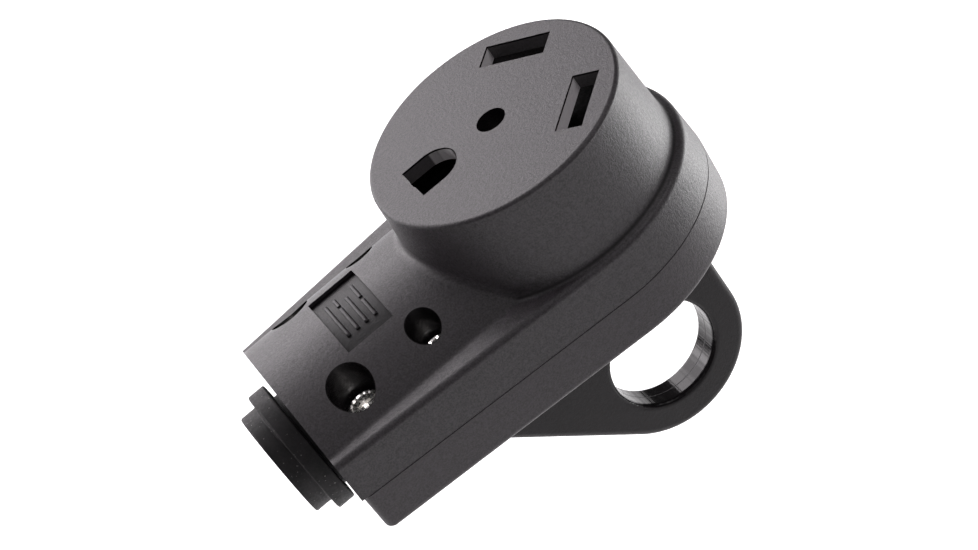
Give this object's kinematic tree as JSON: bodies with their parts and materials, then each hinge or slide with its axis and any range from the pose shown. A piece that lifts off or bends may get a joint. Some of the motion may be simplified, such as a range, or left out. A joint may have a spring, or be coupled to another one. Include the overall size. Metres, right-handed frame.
{
  "type": "right-angle rv power receptacle connector",
  "caption": "Right-angle RV power receptacle connector with a round slotted face, an arched two-part housing, a cord bushing and a finger-loop handle.",
  "frame": {"origin": "centre of the slotted receptacle face", "axes": "+Z out of the receptacle face, +X towards the round end and away from the cord, +Y completes the right-handed frame; the handle hangs down -Z"},
  "size_m": [0.1041, 0.062, 0.087],
  "materials": {
    "housing_plastic": "fine spark-textured charcoal black moulded nylon",
    "handle_plastic": "fine textured charcoal black moulded nylon, glossier inside the finger hole",
    "bushing_rubber": "matte black moulded rubber",
    "carrier_plastic": "matte black thermoset insulator",
    "contact_brass": "stamped brass strip",
    "insert_brass": "turned brass",
    "plate_steel": "zinc-plated steel",
    "screw_steel": "bright nickel-plated steel",
    "washer_steel": "bright nickel-plated steel",
    "line_screw_brass": "brass screw for the line wire",
    "ground_screw_green": "green finish on the ground screw"
  },
  "bodies": {
    "connector": {"front_housing": "housing_plastic", "cord_bushing": "bushing_rubber", "contact_carrier": "carrier_plastic", "centre_screw": "screw_steel", "line_contact": "contact_brass", "neutral_contact": "contact_brass", "ground_contact": "contact_brass"},
    "rear_shell": {"rear_housing": "handle_plastic", "case_inserts": "insert_brass", "tail_inserts": "insert_brass"},
    "case_washer_left": {"case_washer_left": "washer_steel"},
    "case_screw_left": {"case_screw_left": "screw_steel"},
    "case_washer_right": {"case_washer_right": "washer_steel"},
    "case_screw_right": {"case_screw_right": "screw_steel"},
    "tail_washer_left": {"tail_washer_left": "washer_steel"},
    "tail_screw_left": {"tail_screw_left": "screw_steel"},
    "tail_washer_right": {"tail_washer_right": "washer_steel"},
    "tail_screw_right": {"tail_screw_right": "screw_steel"},
    "line_clamp_plate": {"line_clamp_plate": "plate_steel"},
    "line_terminal_screw": {"line_terminal_screw": "line_screw_brass"},
    "neutral_clamp_plate": {"neutral_clamp_plate": "plate_steel"},
    "neutral_terminal_screw": {"neutral_terminal_screw": "screw_steel"},
    "ground_clamp_plate": {"ground_clamp_plate": "plate_steel"},
    "ground_terminal_screw": {"ground_terminal_screw": "ground_screw_green"},
    "cord_clamp": {"cord_clamp": "plate_steel"},
    "clamp_screw_left": {"clamp_screw_left": "screw_steel"},
    "clamp_screw_right": {"clamp_screw_right": "screw_steel"}
  },
  "joints": [
    {"name": "housing_lift", "type": "slide", "parent": "connector", "child": "rear_shell", "axis": [0, 0, -1], "range_m": [0, 0.03]},
    {"name": "case_screw_left_lift", "type": "slide", "parent": "connector", "child": "case_washer_left", "axis": [0, 0, 1], "range_m": [0, 0.0084]},
    {"name": "case_screw_left_turn", "type": "hinge", "parent": "case_washer_left", "child": "case_screw_left", "pos_m": [-0.0351, 0.0156, 0], "axis": [0, 0, 1], "range_deg": [0, 4322]},
    {"name": "case_screw_right_lift", "type": "slide", "parent": "connector", "child": "case_washer_right", "axis": [0, 0, 1], "range_m": [0, 0.0084]},
    {"name": "case_screw_right_turn", "type": "hinge", "parent": "case_washer_right", "child": "case_screw_right", "pos_m": [-0.0351, -0.0156, 0], "axis": [0, 0, 1], "range_deg": [0, 4322]},
    {"name": "tail_screw_left_lift", "type": "slide", "parent": "connector", "child": "tail_washer_left", "axis": [0, 0, 1], "range_m": [0, 0.008]},
    {"name": "tail_screw_left_turn", "type": "hinge", "parent": "tail_washer_left", "child": "tail_screw_left", "pos_m": [-0.0528, 0.0156, 0], "axis": [0, 0, 1], "range_deg": [0, 3602]},
    {"name": "tail_screw_right_lift", "type": "slide", "parent": "connector", "child": "tail_washer_right", "axis": [0, 0, 1], "range_m": [0, 0.008]},
    {"name": "tail_screw_right_turn", "type": "hinge", "parent": "tail_washer_right", "child": "tail_screw_right", "pos_m": [-0.0528, -0.0156, 0], "axis": [0, 0, 1], "range_deg": [0, 3602]},
    {"name": "line_clamp_open", "type": "slide", "parent": "connector", "child": "line_clamp_plate", "axis": [0, 0, -1], "range_m": [0, 0.0042]},
    {"name": "line_screw_turn", "type": "hinge", "parent": "line_clamp_plate", "child": "line_terminal_screw", "pos_m": [0.0022, 0.0136, 0], "axis": [0, 0, -1], "range_deg": [0, 2162]},
    {"name": "neutral_clamp_open", "type": "slide", "parent": "connector", "child": "neutral_clamp_plate", "axis": [0, 0, -1], "range_m": [0, 0.0042]},
    {"name": "neutral_screw_turn", "type": "hinge", "parent": "neutral_clamp_plate", "child": "neutral_terminal_screw", "pos_m": [0.0022, -0.0136, 0], "axis": [0, 0, -1], "range_deg": [0, 2162]},
    {"name": "ground_clamp_open", "type": "slide", "parent": "connector", "child": "ground_clamp_plate", "axis": [0, 0, -1], "range_m": [0, 0.0042]},
    {"name": "ground_screw_turn", "type": "hinge", "parent": "ground_clamp_plate", "child": "ground_terminal_screw", "pos_m": [-0.0054, 0, 0], "axis": [0, 0, -1], "range_deg": [0, 2162]},
    {"name": "cord_clamp_open", "type": "slide", "parent": "connector", "child": "cord_clamp", "axis": [0, 0, -1], "range_m": [0, 0.0025]},
    {"name": "clamp_screw_left_turn", "type": "hinge", "parent": "cord_clamp", "child": "clamp_screw_left", "pos_m": [-0.0434, 0.0136, 0], "axis": [0, 0, -1], "range_deg": [0, 1802]},
    {"name": "clamp_screw_right_turn", "type": "hinge", "parent": "cord_clamp", "child": "clamp_screw_right", "pos_m": [-0.0434, -0.0136, 0], "axis": [0, 0, -1], "range_deg": [0, 1802]}
  ],
  "couplings": [
    {"joint": "case_screw_left_turn", "follows": "case_screw_left_lift", "rad_per_m": 8976},
    {"joint": "case_screw_right_turn", "follows": "case_screw_right_lift", "rad_per_m": 8976},
    {"joint": "tail_screw_left_turn", "follows": "tail_screw_left_lift", "rad_per_m": 7854},
    {"joint": "tail_screw_right_turn", "follows": "tail_screw_right_lift", "rad_per_m": 7854},
    {"joint": "line_screw_turn", "follows": "line_clamp_open", "rad_per_m": 8976},
    {"joint": "neutral_screw_turn", "follows": "neutral_clamp_open", "rad_per_m": 8976},
    {"joint": "ground_screw_turn", "follows": "ground_clamp_open", "rad_per_m": 8976},
    {"joint": "clamp_screw_left_turn", "follows": "cord_clamp_open", "rad_per_m": 12566},
    {"joint": "clamp_screw_right_turn", "follows": "cord_clamp_open", "rad_per_m": 12566}
  ]
}
